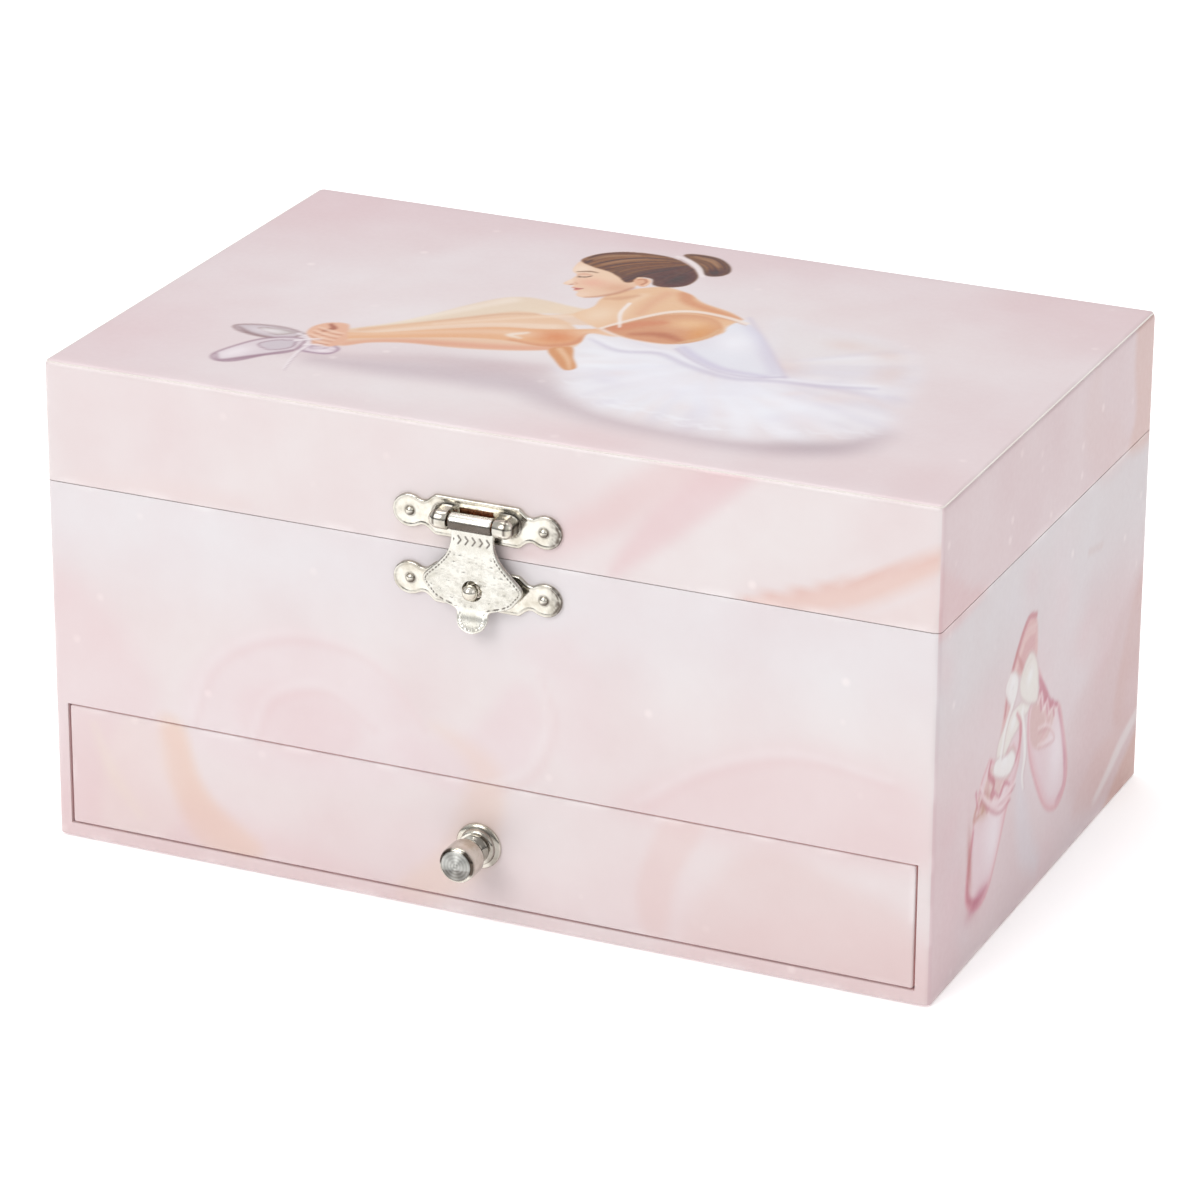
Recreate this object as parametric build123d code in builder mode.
from build123d import *
import math
import os

os.makedirs("parts", exist_ok=True)

# ---------------------------------------------------------------------------
# Musical jewellery box with a folding dancer, in millimetres.
# Frame: origin at the centre of the underside, +X to the right, -Y the front,
# +Z up.  The model is stored closed, with every joint at zero.
# ---------------------------------------------------------------------------

# case
WIDTH = 190.0
DEPTH = 121.0
HEIGHT = 103.0
SKIN = 0.3              # printed paper glued over the boards
BOARD = 2.7             # grey board walls
CORNER_R = 1.4          # outer vertical corners
LINING = 0.5            # velvet lining
BASE_T = 0.5
BODY_TOP = 77.5
LID_LOW = 77.8
SEAM_Z = 77.65
CORE_X = WIDTH / 2 - SKIN
CORE_Y = DEPTH / 2 - SKIN
IN_X = CORE_X - BOARD
IN_Y = CORE_Y - BOARD
ROOM_X = IN_X - LINING
ROOM_Y = IN_Y - LINING

# drawer
MOUTH_LOW = 3.2
MOUTH_HIGH = 29.7
DRAWER_GAP = 0.6
DRAWER_LOW = 3.5
DRAWER_BACK = 55.5
TRAY_WALL = 2.0
TRAY_TOP = 28.5
KNOB_Z = 16.0

# inside of the case
SHELF_LOW = 29.9
SHELF_TOP = 32.5
FLOOR_Z = SHELF_TOP + LINING
DIVIDER_TOP = 62.0
DIVIDER_T = 2.0
HOUSE_FRONT = 29.0
HOUSE_LEFT = -18.0
HOUSE_RIGHT = 46.0
HOUSE_WALL = 2.0
DECK_LOW = 70.5
DECK_TOP = 72.3
ROLL_COUNT = 6
ROLL_PITCH = 13.9
ROLL_TOP = 48.0

# lid
LID_BOARD_LOW = 100.0
MIRROR_LOW = 98.0
MIRROR_X = 70.0
MIRROR_Y = 46.0
HINGE_Y = 61.9
HINGE_Z = SEAM_Z
HINGE_XS = (-55.0, 55.0)
HINGE_WIDTH = 24.0
KNUCKLE_R = 1.15
HINGE_PIN_R = 0.6
LEAF_T = 0.6
LEAF_GAP = 1.35         # from the hinge line to the flat of each leaf
HINGE_SCREWS = (-8.0, 0.0, 8.0)
BODY_SCREW_Z = 71.5
LID_SCREW_Z = 84.5

# hasp at the front
FACE_Y = -DEPTH / 2
PLATE_T = 0.8
HASP_PIN_Y = FACE_Y - 2.8
HASP_PIN_Z = 84.9
HASP_PIN_R = 0.8
UPPER_PLATE_Z = 84.6
LOWER_PLATE_Z = 70.6
STUD_Z = 71.0
NAIL_X = 14.2

# slotted lid stay on the left wall: two pins at the same distance from the
# hinge line, so the arm turns exactly half as far as the lid
STAY_Y = HINGE_Y - 24.0
STAY_RISE = 6.9
STAY_IN = -ROOM_X + 0.3
STAY_T = 0.8
STAY_SLOT_NEAR = 2 * STAY_RISE
STAY_SLOT_FAR = 44.7

# movement, on a vertical bedplate inside the back wall
KEY_Z = 59.0
BEDPLATE_Y = 55.2
BARREL_R = 10.5
BARREL_BACK = 54.9
BARREL_FRONT = 46.4
ARBOR_R = 1.2
RUN_GAP = 0.05
CROWN_TEETH = 48
CROWN_MODULE = 0.375
CROWN_R = CROWN_TEETH * CROWN_MODULE / 2
PINION_TEETH = 12
TRAIN_Y = BARREL_FRONT - 0.47 - PINION_TEETH * CROWN_MODULE / 2
CYLINDER_R = 5.5
CYLINDER_X = (13.3, 32.6)
WHEEL_TEETH = 30
WHEEL_MODULE = 0.3
SMALL_TEETH = 10
SECOND_Z = KEY_Z - (WHEEL_TEETH + SMALL_TEETH) * WHEEL_MODULE / 2
WORM_WHEEL_TEETH = 16
WORM_MODULE = 0.4
WORM_R = 1.5
WORM_X = 37.7
WORM_Z = SECOND_Z - WORM_WHEEL_TEETH * WORM_MODULE / 2 - WORM_R
FLY_Y = (35.2, 38.8)
FLY_R = 4.0
TRACKS = 18
TRACK_PITCH = 1.05
COMB_TOP = KEY_Z - CYLINDER_R - 0.5
ROD_X = 37.7
ROD_Y = 37.0
ROD_R = 0.6

# dancer, folded forward at rest
SPRING_OUT = 1.9
SPRING_IN = 1.35
SPRING_LOW = 74.5
BEND_R = 3.0
BEND_Z = 75.5
FOOT_Y = 38.2
DANCER_Z = BEND_Z + BEND_R
TUTU_R = 14.0


# ---------------------------------------------------------------------------
# helpers
# ---------------------------------------------------------------------------
def block(low, high):
    """A rectangular board between two opposite corners."""
    with BuildPart() as piece:
        with Locations(tuple((a + b) / 2 for a, b in zip(low, high))):
            Box(*(b - a for a, b in zip(low, high)))
    return piece


def facing_front(y, x=0.0, z=0.0):
    """A plane that looks to the front, with its x to the right and y up."""
    return Plane(origin=(x, y, z), x_dir=(1, 0, 0), z_dir=(0, -1, 0))


def facing_right(x, y=0.0, z=0.0):
    """A plane that looks to the right, with its x to the back and y up."""
    return Plane(origin=(x, y, z), x_dir=(0, 1, 0), z_dir=(1, 0, 0))


def gear_points(teeth, module, gap_angle=0.0):
    """Outline of a spur gear whose tooth gap is centred on gap_angle."""
    step = 360 / teeth
    pitch_r = teeth * module / 2
    corners = ((-1.15, -0.33), (0.85, -0.14), (0.85, 0.14), (-1.15, 0.33))
    points = []
    for tooth in range(teeth):
        middle = gap_angle + (tooth + 0.5) * step
        for height, share in corners:
            angle = math.radians(middle + share * step)
            radius = pitch_r + height * module
            points.append((radius * math.cos(angle), radius * math.sin(angle)))
    return points


def save(piece, label):
    """Name the finished piece and write its own STEP file."""
    piece.part.label = label
    export_step(piece.part, f"parts/{label}.step")


# ---------------------------------------------------------------------------
# case boards
# ---------------------------------------------------------------------------
with BuildPart() as base_cover:
    with BuildSketch():
        RectangleRounded(WIDTH - 2.0, DEPTH - 2.0, CORNER_R)
    extrude(amount=BASE_T)
save(base_cover, "base_cover")

floor_board = block((-IN_X, -CORE_Y, BASE_T), (IN_X, IN_Y, MOUTH_LOW))
save(floor_board, "floor_board")

for label, side in (("left_board", -1), ("right_board", 1)):
    with BuildPart() as side_board:
        with Locations((side * (IN_X + BOARD / 2), 0, (BASE_T + BODY_TOP) / 2)):
            Box(BOARD, 2 * CORE_Y, BODY_TOP - BASE_T)
        uprights = side_board.edges().filter_by(Axis.Z).sort_by(Axis.X)
        fillet(uprights[:2] if side < 0 else uprights[-2:], CORNER_R - SKIN)
    save(side_board, label)

with BuildPart() as back_board:
    with Locations((0, IN_Y + BOARD / 2, (BASE_T + BODY_TOP) / 2)):
        Box(2 * IN_X, BOARD, BODY_TOP - BASE_T)
    with BuildSketch(facing_front(CORE_Y, z=KEY_Z)):
        Circle(ARBOR_R + 0.8)
    extrude(amount=BOARD, mode=Mode.SUBTRACT)
save(back_board, "back_board")

front_board = block((-IN_X, -CORE_Y, MOUTH_HIGH), (IN_X, -IN_Y, BODY_TOP))
save(front_board, "front_board")

shelf_board = block((-IN_X, -IN_Y, SHELF_LOW), (IN_X, IN_Y, SHELF_TOP))
save(shelf_board, "shelf_board")

# printed paper wrapped round the four sides, cut out at the drawer and key
with BuildPart() as body_wrap:
    with BuildSketch(Plane.XY.offset(BASE_T)):
        RectangleRounded(WIDTH, DEPTH, CORNER_R)
        RectangleRounded(2 * CORE_X, 2 * CORE_Y, CORNER_R - SKIN, mode=Mode.SUBTRACT)
    extrude(amount=BODY_TOP - BASE_T)
    with Locations((0, FACE_Y, (MOUTH_LOW + MOUTH_HIGH) / 2)):
        Box(2 * IN_X, 2.0, MOUTH_HIGH - MOUTH_LOW, mode=Mode.SUBTRACT)
    with BuildSketch(facing_front(DEPTH / 2, z=KEY_Z)):
        Circle(ARBOR_R + 0.8)
    extrude(amount=2 * SKIN, mode=Mode.SUBTRACT)
save(body_wrap, "body_wrap")

# velvet lining of the upper compartment, an open tub
with BuildPart() as compartment_liner:
    with Locations((0, 0, (SHELF_TOP + BODY_TOP - 1) / 2)):
        Box(2 * IN_X, 2 * IN_Y, BODY_TOP - 1 - SHELF_TOP)
    with Locations((0, 0, (FLOOR_Z + BODY_TOP) / 2)):
        Box(2 * ROOM_X, 2 * ROOM_Y, BODY_TOP - FLOOR_Z, mode=Mode.SUBTRACT)
    with BuildSketch(facing_front(IN_Y, z=KEY_Z)):
        Circle(ARBOR_R + 0.8)
    extrude(amount=2 * LINING, mode=Mode.SUBTRACT)
save(compartment_liner, "compartment_liner")

# ---------------------------------------------------------------------------
# dividers, ring rolls, dancer's stage
# ---------------------------------------------------------------------------
divider_long = block(
    (-ROOM_X, HOUSE_FRONT - DIVIDER_T, FLOOR_Z),
    (ROOM_X, HOUSE_FRONT, DIVIDER_TOP),
)
save(divider_long, "divider_long")

with BuildPart() as dividers_short:
    short_length = HOUSE_FRONT - DIVIDER_T + ROOM_Y
    with Locations(
        (-30.0, short_length / 2 - ROOM_Y, (FLOOR_Z + DIVIDER_TOP) / 2),
        (30.0, short_length / 2 - ROOM_Y, (FLOOR_Z + DIVIDER_TOP) / 2),
    ):
        Box(DIVIDER_T, short_length, DIVIDER_TOP - FLOOR_Z)
save(dividers_short, "dividers_short")

# round-topped foam rolls that hold rings between them
with BuildPart() as ring_rolls:
    for roll in range(ROLL_COUNT):
        roll_y = -ROOM_Y + (roll + 0.5) * ROLL_PITCH
        roll_r = ROLL_PITCH / 2 - 0.1
        with BuildSketch(facing_right(31.3, roll_y, FLOOR_Z)):
            with Locations((0, (ROLL_TOP - roll_r - FLOOR_Z) / 2)):
                Rectangle(2 * roll_r, ROLL_TOP - roll_r - FLOOR_Z)
            with Locations((0, ROLL_TOP - roll_r - FLOOR_Z)):
                Circle(roll_r)
        extrude(amount=ROOM_X - 0.3 - 31.3)
save(ring_rolls, "ring_rolls")

with BuildPart() as housing_walls:
    house_depth = ROOM_Y - HOUSE_FRONT
    house_height = DECK_LOW - FLOOR_Z
    with Locations(((HOUSE_LEFT + HOUSE_RIGHT) / 2, HOUSE_FRONT + HOUSE_WALL / 2, FLOOR_Z + house_height / 2)):
        Box(HOUSE_RIGHT - HOUSE_LEFT, HOUSE_WALL, house_height)
    for wall_x in (HOUSE_LEFT + HOUSE_WALL / 2, HOUSE_RIGHT - HOUSE_WALL / 2):
        with Locations((wall_x, (HOUSE_FRONT + ROOM_Y) / 2, FLOOR_Z + house_height / 2)):
            Box(HOUSE_WALL, house_depth, house_height)
save(housing_walls, "housing_walls")

BUSH_R = 2.6
with BuildPart() as stage_deck:
    with Locations(((HOUSE_LEFT + HOUSE_RIGHT) / 2, (HOUSE_FRONT + ROOM_Y) / 2, (DECK_LOW + DECK_TOP) / 2)):
        Box(HOUSE_RIGHT - HOUSE_LEFT, ROOM_Y - HOUSE_FRONT, DECK_TOP - DECK_LOW)
    with Locations((0, TRAIN_Y, DECK_TOP)):
        Hole(BUSH_R, depth=DECK_TOP - DECK_LOW)
    with Locations((ROD_X, ROD_Y, DECK_TOP)):
        Hole(ROD_R + 0.1, depth=DECK_TOP - DECK_LOW)
save(stage_deck, "stage_deck")

# ---------------------------------------------------------------------------
# hardware fixed to the case
# ---------------------------------------------------------------------------
def ornate_plate(centre_z):
    """A stamped plate with bracket-shaped ends, its back on the front face."""
    with BuildPart() as plate:
        with BuildSketch(facing_front(FACE_Y, z=centre_z)):
            Rectangle(25.0, 8.2)
            for side in (-1, 1):
                with Locations((side * 12.6, 0)):
                    Ellipse(3.0, 3.7)
                with Locations((side * 16.0, 0)):
                    Circle(2.0)
                with Locations((side * 13.4, 3.2), (side * 13.4, -3.2)):
                    Circle(0.9)
            with Locations((-NAIL_X, 0), (NAIL_X, 0)):
                Circle(0.62, mode=Mode.SUBTRACT)
        extrude(amount=PLATE_T)
    return plate


def turned_fixing(x, y, z, side, head_r, head_h, shank_r, shank, stand):
    """A domed nail or screw on the front (side -1) or back (side 1) face."""
    with BuildPart() as fixing:
        with BuildSketch(Plane(origin=(x, y, z), x_dir=(1, 0, 0), z_dir=(0, 0, 1))):
            with BuildLine():
                Polyline((0, side * (stand + head_h)), (0, -side * shank), (shank_r, -side * (shank - 0.4)))
                Polyline((shank_r, -side * (shank - 0.4)), (shank_r, side * stand), (head_r, side * stand))
                TangentArc((0, side * (stand + head_h)), (head_r, side * stand), tangent=(1, 0))
            make_face()
        revolve(axis=Axis((x, y, z), (0, 1, 0)))
    return fixing


def fixings(plate_z, screw_z):
    """Two domed nails in front and three screws in each hinge leaf behind."""
    pieces = []
    for nail_x in (-NAIL_X, NAIL_X):
        pieces.append(turned_fixing(nail_x, FACE_Y, plate_z, -1, 1.5, 1.0, 0.6, 2.4, PLATE_T))
    for hinge_x in HINGE_XS:
        for step in HINGE_SCREWS:
            pieces.append(turned_fixing(hinge_x + step, -FACE_Y, screw_z, 1, 1.2, 0.75, 0.5, 2.2, LEAF_T))
    with BuildPart() as group:
        for piece in pieces:
            add(piece.part)
    return group


hasp_keeper_plate = ornate_plate(LOWER_PLATE_Z)
save(hasp_keeper_plate, "hasp_keeper_plate")
case_fixings = fixings(LOWER_PLATE_Z, BODY_SCREW_Z)
save(case_fixings, "case_fixings")
lid_fixings = fixings(UPPER_PLATE_Z, LID_SCREW_Z)
save(lid_fixings, "lid_fixings")

# stud: a turned ring with a ball that the hasp's hole drops over
with BuildPart() as hasp_stud:
    with BuildSketch(Plane(origin=(0, FACE_Y - PLATE_T, STUD_Z), x_dir=(1, 0, 0), z_dir=(0, 0, 1))):
        with BuildLine():
            Polyline((0, -4.6), (0, 0), (2.3, 0), (2.3, -0.5), (1.9, -0.8), (1.2, -0.8), (1.2, -2.0))
            TangentArc((0, -4.6), (1.2, -2.0), tangent=(1, 0))
        make_face()
    revolve(axis=Axis((0, FACE_Y, STUD_Z), (0, 1, 0)))
save(hasp_stud, "hasp_stud")

# two butt hinges on the back: outer knuckles belong to the case, the middle
# one to the lid
def hinge_leaves(knuckle_spans, side, screw_z, label):
    """Leaves of both hinges, each joined to its own knuckles; side is up or down."""
    near = HINGE_Z + side * LEAF_GAP
    far = HINGE_Z + side * 11.1
    back = -FACE_Y
    with BuildPart() as leaves:
        for hinge_x in HINGE_XS:
            with Locations((hinge_x, back + LEAF_T / 2, (near + far) / 2)):
                Box(HINGE_WIDTH, LEAF_T, abs(far - near))
            for start, end in knuckle_spans:
                x0 = hinge_x + (start - 0.5) * HINGE_WIDTH
                with BuildSketch(facing_right(x0, HINGE_Y, HINGE_Z)):
                    Circle(KNUCKLE_R)
                    with Locations((back + LEAF_T - 0.2 - HINGE_Y, side * (LEAF_GAP + 0.2) / 2)):
                        Rectangle(0.4, LEAF_GAP + 0.2)
                extrude(amount=(end - start) * HINGE_WIDTH)
            with BuildSketch(facing_right(hinge_x - HINGE_WIDTH, HINGE_Y, HINGE_Z)):
                Circle(HINGE_PIN_R)
            extrude(amount=2 * HINGE_WIDTH, mode=Mode.SUBTRACT)
            for step in HINGE_SCREWS:
                with BuildSketch(facing_front(back + LEAF_T, hinge_x + step, screw_z)):
                    Circle(0.52)
                extrude(amount=LEAF_T, mode=Mode.SUBTRACT)
    save(leaves, label)


hinge_leaves(((0.0, 0.32), (0.68, 1.0)), -1, BODY_SCREW_Z, "hinge_body_leaves")
hinge_leaves(((0.335, 0.665),), 1, LID_SCREW_Z, "hinge_lid_leaves")

with BuildPart() as hinge_pins:
    for hinge_x in HINGE_XS:
        with BuildSketch(facing_right(hinge_x - HINGE_WIDTH / 2 - 0.3, HINGE_Y, HINGE_Z)):
            Circle(HINGE_PIN_R - 0.04)
        extrude(amount=HINGE_WIDTH + 0.6)
save(hinge_pins, "hinge_pins")


with BuildPart() as key_escutcheon:
    with BuildSketch(facing_front(DEPTH / 2 + 0.8, z=KEY_Z)):
        Circle(7.0)
        Circle(ARBOR_R + 0.8, mode=Mode.SUBTRACT)
    extrude(amount=0.8)
    chamfer(key_escutcheon.edges().filter_by(GeomType.CIRCLE).group_by(Axis.Y)[-1].sort_by(SortBy.RADIUS)[-1], 0.35)
save(key_escutcheon, "key_escutcheon")

# stud on the left wall that the lid stay slides along, and its twin on the lid
def stay_stud(z, label):
    """A shouldered stud with a flat head outside the stay arm."""
    with BuildPart() as stud:
        with BuildSketch(facing_right(-IN_X - 1.6, STAY_Y, z)):
            Circle(0.8)
        extrude(amount=STAY_IN + STAY_T + 0.3 + IN_X + 1.6)
        with BuildSketch(facing_right(STAY_IN + STAY_T + 0.2, STAY_Y, z)):
            Circle(1.7)
        extrude(amount=0.6)
    save(stud, label)


stay_stud(HINGE_Z - STAY_RISE, "stay_box_pin")
stay_stud(HINGE_Z + STAY_RISE, "stay_lid_pin")

# arm with a long slot; its eye turns on the lid's pin
with BuildPart() as stay_arm:
    with BuildSketch(facing_right(STAY_IN, STAY_Y, HINGE_Z + STAY_RISE)):
        with Locations((0, -STAY_SLOT_FAR / 2)):
            SlotCenterToCenter(STAY_SLOT_FAR, 5.0, rotation=90)
        with Locations((0, -(STAY_SLOT_NEAR + STAY_SLOT_FAR) / 2)):
            SlotCenterToCenter(STAY_SLOT_FAR - STAY_SLOT_NEAR + 0.1, 2.0, rotation=90, mode=Mode.SUBTRACT)
        Circle(0.86, mode=Mode.SUBTRACT)
    extrude(amount=STAY_T)
save(stay_arm, "stay_arm")

# ---------------------------------------------------------------------------
# lid
# ---------------------------------------------------------------------------
with BuildPart() as lid_core:
    with BuildSketch(Plane.XY.offset(LID_LOW)):
        RectangleRounded(2 * CORE_X, 2 * CORE_Y, CORNER_R - SKIN)
    extrude(amount=HEIGHT - SKIN - LID_LOW)
    fillet(lid_core.faces().sort_by(Axis.Z)[-1].edges(), CORNER_R - SKIN - 0.1)

with BuildPart() as lid_top_board:
    add(lid_core.part)
    split(bisect_by=Plane.XY.offset(LID_BOARD_LOW), keep=Keep.TOP)
save(lid_top_board, "lid_top_board")

with BuildPart() as lid_rails:
    for side in (-1, 1):
        with Locations((0, side * (IN_Y + BOARD / 2), (LID_LOW + LID_BOARD_LOW) / 2)):
            Box(2 * IN_X, BOARD, LID_BOARD_LOW - LID_LOW)
    for side in (-1, 1):
        with BuildSketch(Plane.XY.offset(LID_LOW)):
            RectangleRounded(2 * CORE_X, 2 * CORE_Y, CORNER_R - SKIN)
            with Locations((-side * BOARD, 0)):
                Rectangle(2 * CORE_X, 2 * CORE_Y, mode=Mode.SUBTRACT)
        extrude(amount=LID_BOARD_LOW - LID_LOW)
save(lid_rails, "lid_rails")

with BuildPart() as lid_wrap:
    with BuildSketch(Plane.XY.offset(LID_LOW)):
        RectangleRounded(WIDTH, DEPTH, CORNER_R)
    extrude(amount=HEIGHT - LID_LOW)
    fillet(lid_wrap.faces().sort_by(Axis.Z)[-1].edges(), CORNER_R - 0.1)
    add(lid_core.part, mode=Mode.SUBTRACT)
save(lid_wrap, "lid_wrap")

with BuildPart() as lid_liner:
    with Locations((0, 0, (LID_LOW + 1 + LID_BOARD_LOW) / 2)):
        Box(2 * IN_X, 2 * IN_Y, LID_BOARD_LOW - LID_LOW - 1)
    with Locations((0, 0, (LID_LOW + LID_BOARD_LOW - LINING) / 2)):
        Box(2 * ROOM_X, 2 * ROOM_Y, LID_BOARD_LOW - LINING - LID_LOW, mode=Mode.SUBTRACT)
save(lid_liner, "lid_liner")

mirror_glass = block((-MIRROR_X, -MIRROR_Y, MIRROR_LOW), (MIRROR_X, MIRROR_Y, LID_BOARD_LOW - LINING))
save(mirror_glass, "mirror_glass")

with BuildPart() as mirror_bezel:
    with BuildSketch(Plane.XY.offset(MIRROR_LOW - 0.4)):
        RectangleRounded(2 * MIRROR_X + 7, 2 * MIRROR_Y + 7, 2.0)
        Rectangle(2 * MIRROR_X - 3, 2 * MIRROR_Y - 3, mode=Mode.SUBTRACT)
    extrude(amount=LID_BOARD_LOW - LINING - MIRROR_LOW + 0.4)
    chamfer(mirror_bezel.faces().sort_by(Axis.Z)[0].outer_wire().edges(), 0.8)
    with Locations((0, 0, (MIRROR_LOW + LID_BOARD_LOW - LINING) / 2)):
        Box(2 * MIRROR_X, 2 * MIRROR_Y, LID_BOARD_LOW - LINING - MIRROR_LOW, mode=Mode.SUBTRACT)
save(mirror_bezel, "mirror_bezel")

# ---------------------------------------------------------------------------
# hasp
# ---------------------------------------------------------------------------

LUG_X = 6.9
LUG_T = 1.6
LUG_R = 1.9
upper_plate = ornate_plate(UPPER_PLATE_Z)
with BuildPart() as hasp_hinge_plate:
    add(upper_plate.part)
    for side in (-1, 1):
        with BuildSketch(facing_right(side * LUG_X - LUG_T / 2, HASP_PIN_Y, HASP_PIN_Z)):
            Circle(LUG_R)
            with Locations(((FACE_Y - PLATE_T - HASP_PIN_Y) / 2, 0)):
                Rectangle(FACE_Y - PLATE_T - HASP_PIN_Y, 2 * LUG_R)
            Circle(HASP_PIN_R + 0.02, mode=Mode.SUBTRACT)
        extrude(amount=LUG_T)
save(hasp_hinge_plate, "hasp_hinge_plate")

with BuildPart() as hasp_pin:
    with BuildSketch(facing_right(-LUG_X - LUG_T / 2 - 0.5, HASP_PIN_Y, HASP_PIN_Z)):
        Circle(HASP_PIN_R)
    extrude(amount=2 * LUG_X + LUG_T + 1.0)
save(hasp_pin, "hasp_pin")

# flap: rolled eye on the pin, narrow neck, bell-shaped plate, round tab
EYE_R = 1.75
EYE_HALF = 4.6
FLAP_T = 0.9
FLAP_FRONT_Y = HASP_PIN_Y - 0.15
TAB_R = 3.5
TAB_Z = 66.2
WIDEST_Z = 72.5
WIDEST_X = 10.5
with BuildPart() as hasp_flap:
    with BuildSketch(facing_front(FLAP_FRONT_Y + FLAP_T)):
        with BuildLine():
            Line((-4.6, HASP_PIN_Z - 0.9), (-4.6, 81.8))
            ThreePointArc((-4.6, 81.8), (-5.9, 76.4), (-WIDEST_X, WIDEST_Z))
            Line((-WIDEST_X, WIDEST_Z), (-WIDEST_X + 0.4, WIDEST_Z - 1.4))
            ThreePointArc((-WIDEST_X + 0.4, WIDEST_Z - 1.4), (-8.4, 68.0), (-TAB_R, 67.2))
            ThreePointArc((-TAB_R, 67.2), (0, TAB_Z - TAB_R), (TAB_R, 67.2))
            ThreePointArc((TAB_R, 67.2), (8.4, 68.0), (WIDEST_X - 0.4, WIDEST_Z - 1.4))
            Line((WIDEST_X - 0.4, WIDEST_Z - 1.4), (WIDEST_X, WIDEST_Z))
            ThreePointArc((WIDEST_X, WIDEST_Z), (5.9, 76.4), (4.6, 81.8))
            Polyline((4.6, 81.8), (4.6, HASP_PIN_Z - 0.9), (-4.6, HASP_PIN_Z - 0.9))
        make_face()
        with Locations((0, STUD_Z)):
            Circle(2.7, mode=Mode.SUBTRACT)
    extrude(amount=FLAP_T)
    with BuildSketch(facing_right(-EYE_HALF, HASP_PIN_Y, HASP_PIN_Z)):
        Circle(EYE_R)
    extrude(amount=2 * EYE_HALF)
    with BuildSketch(facing_right(-EYE_HALF, HASP_PIN_Y, HASP_PIN_Z)):
        Circle(HASP_PIN_R + RUN_GAP)
    extrude(amount=2 * EYE_HALF, mode=Mode.SUBTRACT)
save(hasp_flap, "hasp_flap")

# ---------------------------------------------------------------------------
# drawer
# ---------------------------------------------------------------------------
DRAWER_X = IN_X - DRAWER_GAP
FRONT_LOW = MOUTH_LOW + 0.4
FRONT_HIGH = MOUTH_HIGH - 0.4
SCREW_R = 1.5

with BuildPart() as drawer_front:
    with Locations((0, (FACE_Y - IN_Y) / 2, (FRONT_LOW + FRONT_HIGH) / 2)):
        Box(2 * DRAWER_X, SKIN + BOARD, FRONT_HIGH - FRONT_LOW)
    fillet(drawer_front.faces().sort_by(Axis.Y)[0].edges(), 1.0)
    with BuildSketch(facing_front(-IN_Y, z=KNOB_Z)):
        Circle(SCREW_R + 0.02)
    extrude(amount=SKIN + BOARD, mode=Mode.SUBTRACT)
save(drawer_front, "drawer_front")

with BuildPart() as drawer_tray:
    with Locations((0, (DRAWER_BACK - IN_Y) / 2, (DRAWER_LOW + TRAY_TOP) / 2)):
        Box(2 * DRAWER_X, DRAWER_BACK + IN_Y, TRAY_TOP - DRAWER_LOW)
    with Locations((0, (DRAWER_BACK - IN_Y) / 2, (DRAWER_LOW + TRAY_WALL + TRAY_TOP) / 2)):
        Box(
            2 * (DRAWER_X - TRAY_WALL),
            DRAWER_BACK + IN_Y - 2 * TRAY_WALL,
            TRAY_TOP - DRAWER_LOW - TRAY_WALL,
            mode=Mode.SUBTRACT,
        )
    with BuildSketch(facing_front(-IN_Y + TRAY_WALL, z=KNOB_Z)):
        Circle(SCREW_R + 0.02)
    extrude(amount=TRAY_WALL, mode=Mode.SUBTRACT)
save(drawer_tray, "drawer_tray")

NAP = 0.4
with BuildPart() as drawer_liner:
    with Locations((0, (DRAWER_BACK - IN_Y) / 2, (DRAWER_LOW + TRAY_WALL + TRAY_TOP - 1) / 2)):
        Box(
            2 * (DRAWER_X - TRAY_WALL),
            DRAWER_BACK + IN_Y - 2 * TRAY_WALL,
            TRAY_TOP - 1 - DRAWER_LOW - TRAY_WALL,
        )
    with Locations((0, (DRAWER_BACK - IN_Y) / 2, (DRAWER_LOW + TRAY_WALL + NAP + TRAY_TOP) / 2)):
        Box(
            2 * (DRAWER_X - TRAY_WALL - NAP),
            DRAWER_BACK + IN_Y - 2 * TRAY_WALL - 2 * NAP,
            TRAY_TOP - DRAWER_LOW - TRAY_WALL - NAP,
            mode=Mode.SUBTRACT,
        )
    with BuildSketch(facing_front(-IN_Y + TRAY_WALL + NAP, z=KNOB_Z)):
        Circle(3.4)
    extrude(amount=NAP, mode=Mode.SUBTRACT)
save(drawer_liner, "drawer_liner")

# turned knob: stepped rose, neck, barrel-shaped head with a flat face
knob_plane = Plane(origin=(0, FACE_Y, KNOB_Z), x_dir=(1, 0, 0), z_dir=(0, 0, 1))
knob_axis = Axis((0, FACE_Y, KNOB_Z), (0, 1, 0))
with BuildPart() as knob_rose:
    with BuildSketch(knob_plane):
        with BuildLine():
            Polyline((SCREW_R + 0.02, 0), (4.8, 0), (4.8, -0.5), (4.5, -0.9), (3.5, -1.0), (3.3, -1.8))
            Polyline((3.3, -1.8), (SCREW_R + 0.02, -1.8), (SCREW_R + 0.02, 0))
        make_face()
    revolve(axis=knob_axis)
save(knob_rose, "knob_rose")

with BuildPart() as knob:
    with BuildSketch(knob_plane):
        with BuildLine():
            Polyline((SCREW_R + 0.02, -1.8), (2.6, -1.8))
            ThreePointArc((2.6, -1.8), (1.9, -3.2), (2.7, -4.8))
            Polyline((2.7, -4.8), (3.5, -5.2), (3.85, -6.0), (3.85, -9.8), (3.3, -10.7), (2.6, -11.0))
            Polyline((2.6, -11.0), (0, -11.1), (0, -6.6), (SCREW_R + 0.02, -6.6), (SCREW_R + 0.02, -1.8))
        make_face()
    revolve(axis=knob_axis)
save(knob, "knob")

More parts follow.
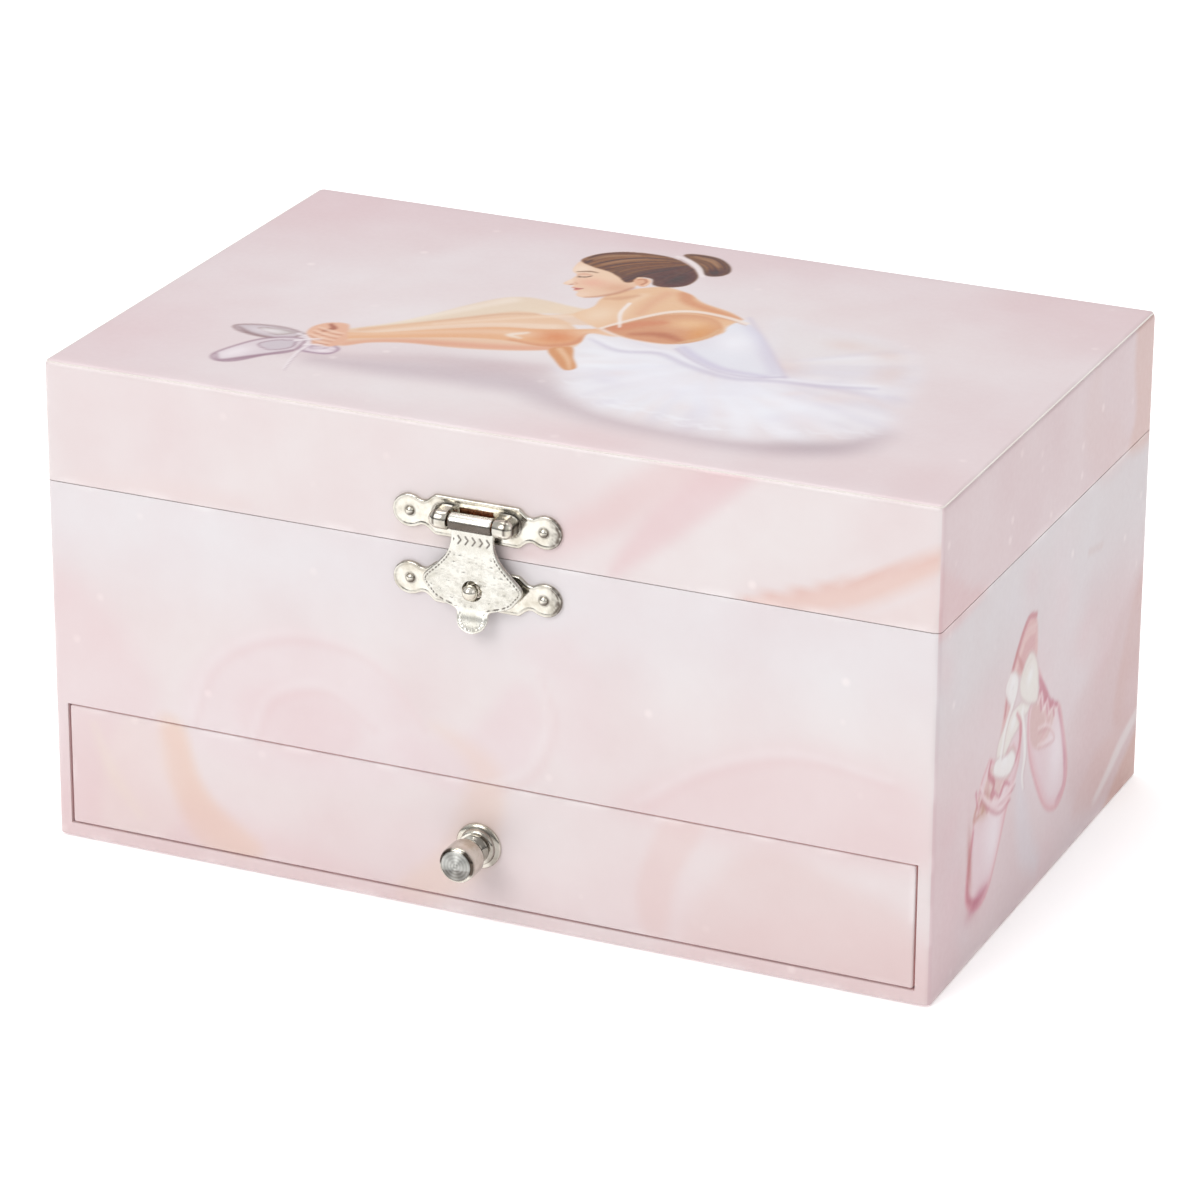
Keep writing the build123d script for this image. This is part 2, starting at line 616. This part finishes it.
with BuildPart() as knob_screw:
    with BuildSketch(facing_front(-IN_Y + TRAY_WALL, z=KNOB_Z)):
        Circle(SCREW_R)
    extrude(amount=TRAY_WALL + SKIN + BOARD + 6.0)
    with BuildSketch(facing_front(-IN_Y + TRAY_WALL + 1.5, z=KNOB_Z)):
        Circle(2.9)
    extrude(amount=1.5)
    with BuildSketch(facing_front(-IN_Y + TRAY_WALL + 1.5, z=KNOB_Z)):
        Rectangle(3.4, 0.7)
        Rectangle(0.7, 3.4)
    extrude(amount=0.8, mode=Mode.SUBTRACT)
save(knob_screw, "knob_screw")

# ---------------------------------------------------------------------------
# winding key and arbor
# ---------------------------------------------------------------------------
KEY_BACK = DEPTH / 2 + 14.0
with BuildPart() as winding_key:
    with BuildSketch(facing_front(KEY_BACK, z=KEY_Z)):
        Circle(2.3)
    extrude(amount=KEY_BACK - DEPTH / 2 - 1.4)
    with BuildSketch(facing_right(-0.8, KEY_BACK, KEY_Z)):
        with Locations((-2.5, 0)):
            SlotCenterToCenter(13.0, 9.0, rotation=90)
        with Locations((-2.5, 7.4), (-2.5, -7.4)):
            Circle(2.3, mode=Mode.SUBTRACT)
    extrude(amount=1.6)
    with BuildSketch(facing_front(DEPTH / 2 + 8.0, z=KEY_Z)):
        Circle(ARBOR_R + 0.02)
    extrude(amount=8.0, mode=Mode.SUBTRACT)
save(winding_key, "winding_key")

with BuildPart() as winding_arbor:
    with BuildSketch(facing_front(DEPTH / 2 + 7.5, z=KEY_Z)):
        Circle(ARBOR_R)
    extrude(amount=DEPTH / 2 + 7.5 - BARREL_FRONT - 0.4)
save(winding_arbor, "winding_arbor")

# ---------------------------------------------------------------------------
# spring barrel with a crown of teeth on its front face
# ---------------------------------------------------------------------------
CROWN_PITCH = math.pi * CROWN_MODULE
BARREL_WALL = 0.8
with BuildPart() as spring_barrel:
    with BuildSketch(facing_front(BARREL_BACK, z=KEY_Z)):
        Circle(BARREL_R)
    extrude(amount=BARREL_BACK - BARREL_FRONT)
    with BuildSketch(facing_front(BARREL_BACK - BARREL_WALL, z=KEY_Z)):
        Circle(BARREL_R - BARREL_WALL)
    extrude(amount=BARREL_BACK - BARREL_FRONT - 2 * BARREL_WALL, mode=Mode.SUBTRACT)
    with BuildSketch(facing_front(BARREL_BACK, z=KEY_Z)):
        Circle(ARBOR_R + RUN_GAP)
    extrude(amount=BARREL_BACK - BARREL_FRONT, mode=Mode.SUBTRACT)
    with BuildSketch(facing_front(BARREL_FRONT, z=KEY_Z)):
        with PolarLocations(CROWN_R, CROWN_TEETH):
            Rectangle(1.7, 0.47 * CROWN_PITCH)
    extrude(amount=0.8, taper=9)
save(spring_barrel, "spring_barrel")

# spiral mainspring: a strip of four and a half turns between arbor and barrel
SPRING_TURNS = 4.5
SPRING_R0 = 1.6
SPRING_R1 = BARREL_R - BARREL_WALL - 0.5
STRIP = 0.35


def spiral(offset):
    """Points of the strip's spiral, pushed outwards by offset."""
    count = int(SPRING_TURNS * 12)
    points = []
    for step in range(count + 1):
        turn = 2 * math.pi * SPRING_TURNS * step / count
        radius = SPRING_R0 + (SPRING_R1 - SPRING_R0) * step / count + offset
        points.append((radius * math.cos(turn), radius * math.sin(turn)))
    return points


with BuildPart() as mainspring:
    with BuildSketch(facing_front(BARREL_BACK - BARREL_WALL - 0.3, z=KEY_Z)):
        with BuildLine():
            inner = Spline(*spiral(0.0))
            outer = Spline(*spiral(STRIP))
            Line(inner @ 0, outer @ 0)
            Line(inner @ 1, outer @ 1)
        make_face()
    extrude(amount=BARREL_BACK - BARREL_FRONT - 2 * BARREL_WALL - 0.6)
save(mainspring, "mainspring")

# ---------------------------------------------------------------------------
# bedplate, comb and bearings
# ---------------------------------------------------------------------------
POST_A = (11.2, 12.6)
POST_B = (39.5, 41.0)
POST_C = (33.0, 33.7)
CYL_ARBOR_R = 0.8
PIVOT_R = 0.5

with BuildPart() as bedplate:
    with Locations((15.25, (BEDPLATE_Y + ROOM_Y) / 2, 52.0)):
        Box(57.0, ROOM_Y - BEDPLATE_Y, 35.0)
    with BuildSketch(facing_front(ROOM_Y, z=KEY_Z)):
        Circle(ARBOR_R + RUN_GAP)
    extrude(amount=ROOM_Y - BEDPLATE_Y, mode=Mode.SUBTRACT)
save(bedplate, "bedplate")


def bearing_post(span, z_low, z_high, bores):
    """An upright cheek standing out of the bedplate, bored for arbors."""
    front = TRAIN_Y - 2.0
    with BuildPart() as post:
        with Locations(((span[0] + span[1]) / 2, (front + BEDPLATE_Y) / 2, (z_low + z_high) / 2)):
            Box(span[1] - span[0], BEDPLATE_Y - front, z_high - z_low)
        for bore_z, bore_r in bores:
            with BuildSketch(facing_right(span[0], TRAIN_Y, bore_z)):
                Circle(bore_r + RUN_GAP)
            extrude(amount=span[1] - span[0], mode=Mode.SUBTRACT)
    return post


left_post = bearing_post(POST_A, 56.0, 62.0, ((KEY_Z, CYL_ARBOR_R),))
right_post = bearing_post(POST_B, 51.4, 62.0, ((KEY_Z, CYL_ARBOR_R), (SECOND_Z, PIVOT_R)))
middle_post = bearing_post(POST_C, 51.4, 54.9, ((SECOND_Z, PIVOT_R),))
with BuildPart() as train_bearings:
    for post in (left_post, right_post, middle_post):
        add(post.part)
save(train_bearings, "train_bearings")

# comb: a steel plate with tuned teeth under the cylinder, on a cast block
TOOTH_TIP_Y = TRAIN_Y - 0.2
TOOTH_ROOT_Y = 50.4
COMB_T = 0.8
COMB_X0 = CYLINDER_X[0] + 0.2
with BuildPart() as tone_comb:
    with BuildSketch(Plane.XY.offset(COMB_TOP - COMB_T)):
        with Locations((COMB_X0 + TRACKS * TRACK_PITCH / 2, (TOOTH_ROOT_Y + BEDPLATE_Y) / 2)):
            Rectangle(TRACKS * TRACK_PITCH, BEDPLATE_Y - TOOTH_ROOT_Y)
        for track in range(TRACKS):
            with Locations((COMB_X0 + (track + 0.5) * TRACK_PITCH, (TOOTH_TIP_Y + TOOTH_ROOT_Y) / 2)):
                Rectangle(0.8, TOOTH_ROOT_Y - TOOTH_TIP_Y)
    extrude(amount=COMB_T)
save(tone_comb, "tone_comb")

comb_block = block(
    (COMB_X0, TOOTH_ROOT_Y + 0.6, COMB_TOP - COMB_T - 2.6),
    (COMB_X0 + TRACKS * TRACK_PITCH, BEDPLATE_Y, COMB_TOP - COMB_T),
)
save(comb_block, "comb_block")

# governor bracket: a channel whose two ends carry the worm's pivots
BRACKET_LOW = WORM_Z - FLY_R - 1.8
with BuildPart() as governor_bracket:
    with Locations((WORM_X, (32.8 + BEDPLATE_Y) / 2, BRACKET_LOW + 0.5)):
        Box(6.0, BEDPLATE_Y - 32.8, 1.0)
    for end_y in (33.3, 47.7):
        with Locations((WORM_X, end_y, (BRACKET_LOW + WORM_Z + 1.6) / 2)):
            Box(4.0, 1.0, WORM_Z + 1.6 - BRACKET_LOW)
    with BuildSketch(facing_front(BEDPLATE_Y - 3, WORM_X, WORM_Z)):
        Circle(PIVOT_R + RUN_GAP)
    extrude(amount=20.0, mode=Mode.SUBTRACT)
save(governor_bracket, "governor_bracket")

with BuildPart() as spindle_bush:
    with BuildSketch(Plane(origin=(0, TRAIN_Y, DECK_LOW - 0.9), x_dir=(1, 0, 0), z_dir=(0, 0, 1))):
        Circle(BUSH_R - 0.02)
    extrude(amount=DECK_TOP - DECK_LOW + 0.9)
    with BuildSketch(Plane(origin=(0, TRAIN_Y, DECK_TOP), x_dir=(1, 0, 0), z_dir=(0, 0, 1))):
        Circle(4.2)
    extrude(amount=0.7)
    with BuildSketch(Plane(origin=(0, TRAIN_Y, DECK_LOW - 0.9), x_dir=(1, 0, 0), z_dir=(0, 0, 1))):
        Circle(1.0 + RUN_GAP)
    extrude(amount=DECK_TOP - DECK_LOW + 1.6, mode=Mode.SUBTRACT)
save(spindle_bush, "spindle_bush")

with BuildPart() as bedplate_screws:
    for screw_x, screw_z in ((-10.5, 37.5), (-10.5, 66.8), (20.0, 66.8), (40.8, 66.8), (20.0, 37.5)):
        with BuildSketch(facing_front(BEDPLATE_Y, screw_x, screw_z)):
            Circle(1.9)
        extrude(amount=1.1)
        with BuildSketch(facing_front(BEDPLATE_Y - 1.1, screw_x, screw_z)):
            Rectangle(2.9, 0.5)
        extrude(amount=-0.5, mode=Mode.SUBTRACT)
save(bedplate_screws, "bedplate_screws")

# ---------------------------------------------------------------------------
# wheel train
# ---------------------------------------------------------------------------
with BuildPart() as pinned_cylinder:
    with BuildSketch(facing_right(CYLINDER_X[0], TRAIN_Y, KEY_Z)):
        Circle(CYLINDER_R)
        Circle(CYL_ARBOR_R + 0.02, mode=Mode.SUBTRACT)
    extrude(amount=CYLINDER_X[1] - CYLINDER_X[0])
    for track in range(TRACKS):
        for note in range(3):
            pin_angle = track * 137.5 + note * 111.0
            pin_plane = Plane(
                origin=(COMB_X0 + (track + 0.5) * TRACK_PITCH, TRAIN_Y, KEY_Z),
                x_dir=(1, 0, 0),
                z_dir=(0, math.cos(math.radians(pin_angle)), math.sin(math.radians(pin_angle))),
            )
            with BuildSketch(pin_plane.offset(CYLINDER_R - 0.2)):
                Rectangle(0.3, 0.3)
            extrude(amount=0.55)
save(pinned_cylinder, "pinned_cylinder")

# arbor with its crown-wheel pinion and the great wheel of the governor train
with BuildPart() as cylinder_arbor:
    with BuildSketch(facing_right(CROWN_R - 1.2, TRAIN_Y, KEY_Z)):
        Circle(CYL_ARBOR_R)
    extrude(amount=POST_B[1] + 0.3 - CROWN_R + 1.2)
    with BuildSketch(facing_right(CROWN_R - 0.8, TRAIN_Y, KEY_Z)):
        with BuildLine():
            Polyline(*gear_points(PINION_TEETH, CROWN_MODULE), close=True)
        make_face()
    extrude(amount=1.6)
    with BuildSketch(facing_right(34.2, TRAIN_Y, KEY_Z)):
        with BuildLine():
            Polyline(*gear_points(WHEEL_TEETH, WHEEL_MODULE, gap_angle=-90.0), close=True)
        make_face()
    extrude(amount=1.2)
save(cylinder_arbor, "cylinder_arbor")

WORM_WHEEL_X = (37.1, 38.3)
with BuildPart() as second_arbor:
    with BuildSketch(facing_right(POST_C[0] - 0.2, TRAIN_Y, SECOND_Z)):
        Circle(PIVOT_R)
    extrude(amount=POST_B[1] + 0.2 - POST_C[0] + 0.2)
    with BuildSketch(facing_right(34.0, TRAIN_Y, SECOND_Z)):
        with BuildLine():
            Polyline(*gear_points(SMALL_TEETH, WHEEL_MODULE, gap_angle=90.0 + 180.0 / SMALL_TEETH), close=True)
        make_face()
    extrude(amount=1.6)
    with BuildSketch(facing_right(WORM_WHEEL_X[0], TRAIN_Y, SECOND_Z)):
        with BuildLine():
            Polyline(*gear_points(WORM_WHEEL_TEETH, WORM_MODULE, gap_angle=-90.0), close=True)
        make_face()
    extrude(amount=WORM_WHEEL_X[1] - WORM_WHEEL_X[0])
save(second_arbor, "second_arbor")

WORM_PITCH = math.pi * WORM_MODULE
WORM_CORE_R = WORM_R - 1.2 * WORM_MODULE
WORM_TURNS = 4
WORM_LOW = TRAIN_Y - WORM_TURNS * WORM_PITCH / 2
THREAD_W = 0.42
with BuildPart() as worm_and_fly:
    with BuildSketch(facing_front(48.1, WORM_X, WORM_Z)):
        Circle(PIVOT_R)
    extrude(amount=48.1 - 32.9)
    with BuildSketch(facing_front(46.7, WORM_X, WORM_Z)):
        Circle(WORM_CORE_R)
    extrude(amount=6.0)
    with BuildLine() as thread_path:
        Helix(
            WORM_PITCH,
            WORM_TURNS * WORM_PITCH,
            WORM_CORE_R,
            center=(WORM_X, WORM_LOW, WORM_Z),
            direction=(0, 1, 0),
        )
    with BuildSketch(Plane(origin=thread_path.line @ 0, x_dir=(0, 0, 1), z_dir=thread_path.line % 0)):
        with Locations((0.2, 0)):
            Rectangle(1.1, THREAD_W)
    sweep(path=thread_path.line, is_frenet=True)
    with BuildSketch(facing_front(FLY_Y[1], WORM_X, WORM_Z)):
        Circle(1.2)
        Rectangle(2 * FLY_R, 0.5)
    extrude(amount=FLY_Y[1] - FLY_Y[0])
save(worm_and_fly, "worm_and_fly")

# dancer's spindle, driven by the same crown
with BuildPart() as dancer_spindle:
    with BuildSketch(Plane(origin=(0, TRAIN_Y, KEY_Z + CROWN_R - 1.2), x_dir=(1, 0, 0), z_dir=(0, 0, 1))):
        Circle(1.0)
    extrude(amount=SPRING_LOW + 0.8 - KEY_Z - CROWN_R + 1.2)
    with BuildSketch(Plane(origin=(0, TRAIN_Y, KEY_Z + CROWN_R - 0.8), x_dir=(1, 0, 0), z_dir=(0, 0, 1))):
        with BuildLine():
            Polyline(*gear_points(PINION_TEETH, CROWN_MODULE, gap_angle=90.0), close=True)
        make_face()
    extrude(amount=1.6)
save(dancer_spindle, "dancer_spindle")

# ---------------------------------------------------------------------------
# dancer on her bending spring
# ---------------------------------------------------------------------------
with BuildPart() as dancer_spring:
    with BuildLine() as spring_path:
        Line((0, TRAIN_Y, SPRING_LOW), (0, TRAIN_Y, BEND_Z))
        TangentArc((0, TRAIN_Y, BEND_Z), (0, TRAIN_Y - BEND_R, DANCER_Z), tangent=(0, 0, 1))
        Line((0, TRAIN_Y - BEND_R, DANCER_Z), (0, FOOT_Y, DANCER_Z))
    with BuildSketch(Plane(origin=(0, TRAIN_Y, SPRING_LOW), x_dir=(1, 0, 0), z_dir=(0, 0, 1))):
        Circle(SPRING_OUT)
        Circle(SPRING_IN, mode=Mode.SUBTRACT)
    sweep(path=spring_path.wires()[0])
save(dancer_spring, "dancer_spring")

# figure: turned profile along her own height h, radius r; foot at h = 0
figure_plane = Plane(origin=(0, FOOT_Y, DANCER_Z), x_dir=(0, -1, 0), z_dir=(0, 0, 1))
figure_axis = Axis((0, FOOT_Y, DANCER_Z), (0, -1, 0))
HEAD_H = 41.0
HEAD_R = 3.1
with BuildPart() as dancer_figure:
    with BuildSketch(figure_plane):
        with BuildLine():
            Polyline((-0.7, 0), (-0.7, 0.95), (3.0, 1.0))
            Spline((3.0, 1.0), (8.0, 1.9), (13.0, 1.6), (19.0, 2.6), (23.5, 4.0))
            Spline((23.5, 4.0), (26.5, 3.2), (29.0, 2.3), (33.5, 3.4), (35.8, 3.0), (37.2, 1.2))
            Polyline((37.2, 1.2), (39.5, 1.2), (39.5, 0), (-0.7, 0))
        make_face()
    revolve(axis=figure_axis)
    with Locations((0, FOOT_Y - HEAD_H, DANCER_Z)):
        Sphere(HEAD_R)
    with Locations((0, FOOT_Y - HEAD_H - 1.2, DANCER_Z + 3.0)):
        Sphere(1.5)
    for side in (-1, 1):
        with BuildLine() as arm_path:
            ThreePointArc(
                (side * 2.8, FOOT_Y - 35.0, DANCER_Z),
                (side * 7.6, FOOT_Y - 41.0, DANCER_Z - 1.2),
                (side * 1.4, FOOT_Y - 47.0, DANCER_Z - 1.6),
            )
        with BuildSketch(Plane(origin=arm_path.line @ 0, z_dir=arm_path.line % 0)):
            Circle(0.85)
        sweep(path=arm_path.line)
save(dancer_figure, "dancer_figure")

with BuildPart() as tutu:
    with BuildSketch(figure_plane):
        with BuildLine():
            Polyline((25.6, 4.1), (24.6, 9.0), (23.4, TUTU_R), (22.2, TUTU_R), (22.6, 9.0), (22.9, 4.1))
            Line((22.9, 4.1), (25.6, 4.1))
        make_face()
    revolve(axis=figure_axis)
save(tutu, "tutu")

# rod that the lid presses down to stop the fly
with BuildPart() as stop_rod:
    with BuildSketch(Plane(origin=(ROD_X, ROD_Y, WORM_Z + FLY_R + 0.3), x_dir=(1, 0, 0), z_dir=(0, 0, 1))):
        Circle(ROD_R)
    extrude(amount=MIRROR_LOW - 0.7 - WORM_Z - FLY_R - 0.3)
save(stop_rod, "stop_rod")
